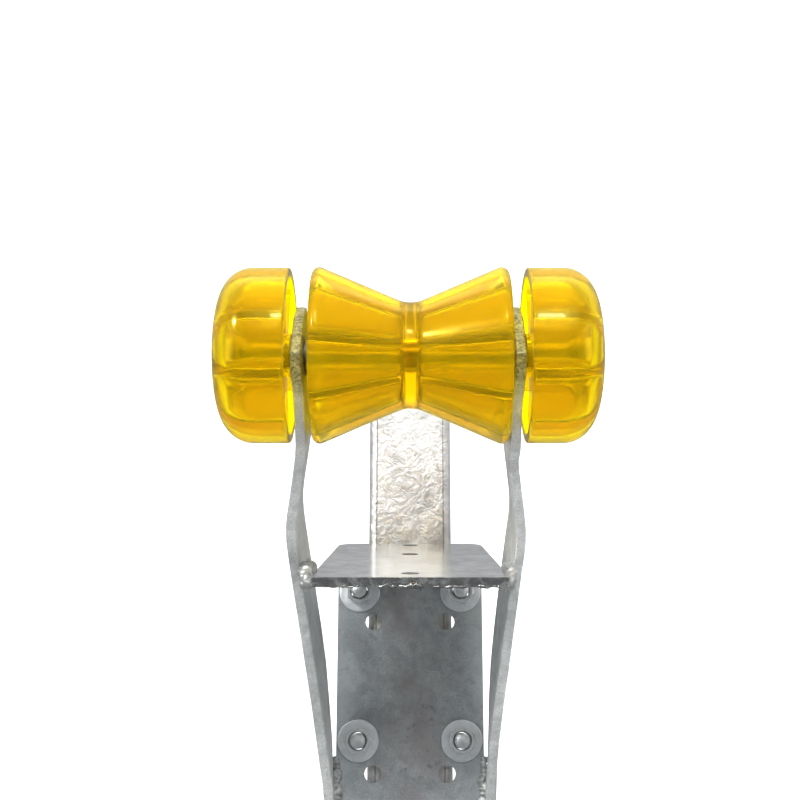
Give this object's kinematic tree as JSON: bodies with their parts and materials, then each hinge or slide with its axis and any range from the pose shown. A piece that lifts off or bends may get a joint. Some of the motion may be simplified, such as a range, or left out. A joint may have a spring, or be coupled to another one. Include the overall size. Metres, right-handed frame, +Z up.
{
  "type": "bow roller",
  "caption": "Boat trailer bow roller head: amber V spool and end bells on an axle, on joggled steel arms with a winch shelf, clamped by U-bolts to a square winch post.",
  "frame": {"origin": "on the top face of the winch shelf, on its centreline, 50 mm behind its front edge", "axes": "+Z up out of the shelf's top face, +Y from the boat toward the winch post, +X along the axle to the right as seen from the boat"},
  "size_m": [0.1993, 0.2624, 0.3983],
  "materials": {
    "amber_polymer": "glossy translucent amber rubber",
    "galvanised_post": "rough hot-dip galvanised, pale",
    "galvanised_plate": "mottled hot-dip galvanised, blue grey",
    "galvanised_arm": "hot-dip galvanised, mid grey",
    "galvanised_shelf": "hot-dip galvanised, pale",
    "zinc_plate": "bright zinc plated"
  },
  "bodies": {
    "post": {"winch_post": "galvanised_post"},
    "bracket": {"mount_plate": "galvanised_plate", "left_arm": "galvanised_arm", "right_arm": "galvanised_arm", "winch_shelf": "galvanised_shelf", "left_shelf_weld": "galvanised_arm", "right_shelf_weld": "galvanised_arm", "axle": "zinc_plate", "left_inner_spacer": "zinc_plate", "left_outer_spacer": "zinc_plate", "left_axle_washer": "zinc_plate", "left_push_nut": "zinc_plate", "right_inner_spacer": "zinc_plate", "right_outer_spacer": "zinc_plate", "right_axle_washer": "zinc_plate", "right_push_nut": "zinc_plate", "upper_ubolt": "zinc_plate", "lower_ubolt": "zinc_plate", "upper_left_washer": "zinc_plate", "upper_left_nut": "zinc_plate", "upper_right_washer": "zinc_plate", "upper_right_nut": "zinc_plate", "lower_left_washer": "zinc_plate", "lower_left_nut": "zinc_plate", "lower_right_washer": "zinc_plate", "lower_right_nut": "zinc_plate"},
    "spool": {"spool_roller": "amber_polymer"},
    "left_bell": {"left_end_bell": "amber_polymer"},
    "right_bell": {"right_end_bell": "amber_polymer"}
  },
  "joints": [
    {"name": "height_adjust", "type": "slide", "parent": "post", "child": "bracket", "axis": [0, 0.2588, 0.9659], "range_m": [-0.04, 0.04]},
    {"name": "spool_spin", "type": "hinge", "parent": "bracket", "child": "spool", "pos_m": [0, -0.045, 0.114], "axis": [1, 0, 0], "continuous": true},
    {"name": "left_bell_spin", "type": "hinge", "parent": "bracket", "child": "left_bell", "pos_m": [-0.082, -0.045, 0.114], "axis": [1, 0, 0], "continuous": true},
    {"name": "right_bell_spin", "type": "hinge", "parent": "bracket", "child": "right_bell", "pos_m": [0.082, -0.045, 0.114], "axis": [1, 0, 0], "continuous": true}
  ]
}
